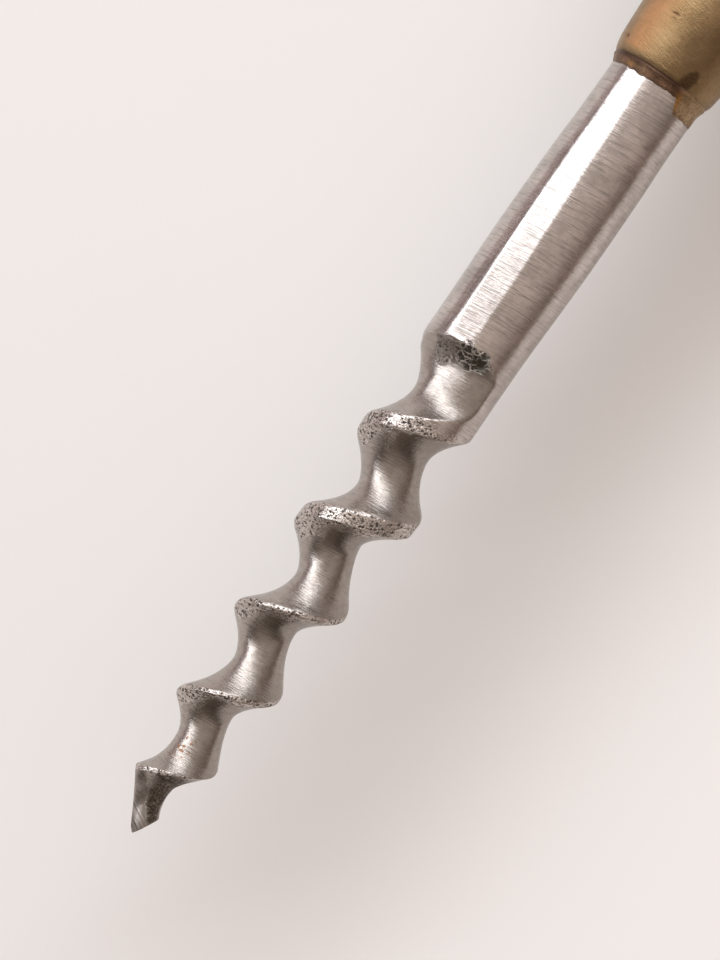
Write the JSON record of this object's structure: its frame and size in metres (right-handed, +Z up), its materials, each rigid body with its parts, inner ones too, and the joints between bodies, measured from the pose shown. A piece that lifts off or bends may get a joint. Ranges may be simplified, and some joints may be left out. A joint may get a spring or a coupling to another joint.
{
  "type": "scratch awl",
  "caption": "Hand awl: spiral-fluted, chisel-pointed steel blade brazed into a brass bolster, on a turned wooden handle with a brass butt cap.",
  "frame": {"origin": "on the resting plane, under the middle of the tool's bounding box", "axes": "+X along the tool from the butt cap to the tip, +Z up, square to the handle's two planed flats, +Y to the left of someone looking along +X"},
  "size_m": [0.185, 0.0292, 0.023],
  "materials": {
    "steel": "ground and brushed, worn, with dark pitted scale left on the flute's lands",
    "brass": "satin, turned, lightly tarnished",
    "bronze": "brazing bronze, stained dark brown",
    "wood": "oiled reddish-brown hardwood, satin",
    "fastener_steel": "plain turned steel"
  },
  "bodies": {
    "root": {"blade": "steel", "bolster": "brass", "braze_fillet": "bronze", "bolster_pin_left": "brass", "bolster_pin_right": "brass", "handle": "wood", "tang_washer": "fastener_steel", "tang_nut": "fastener_steel", "butt_cap": "brass"}
  },
  "joints": []
}
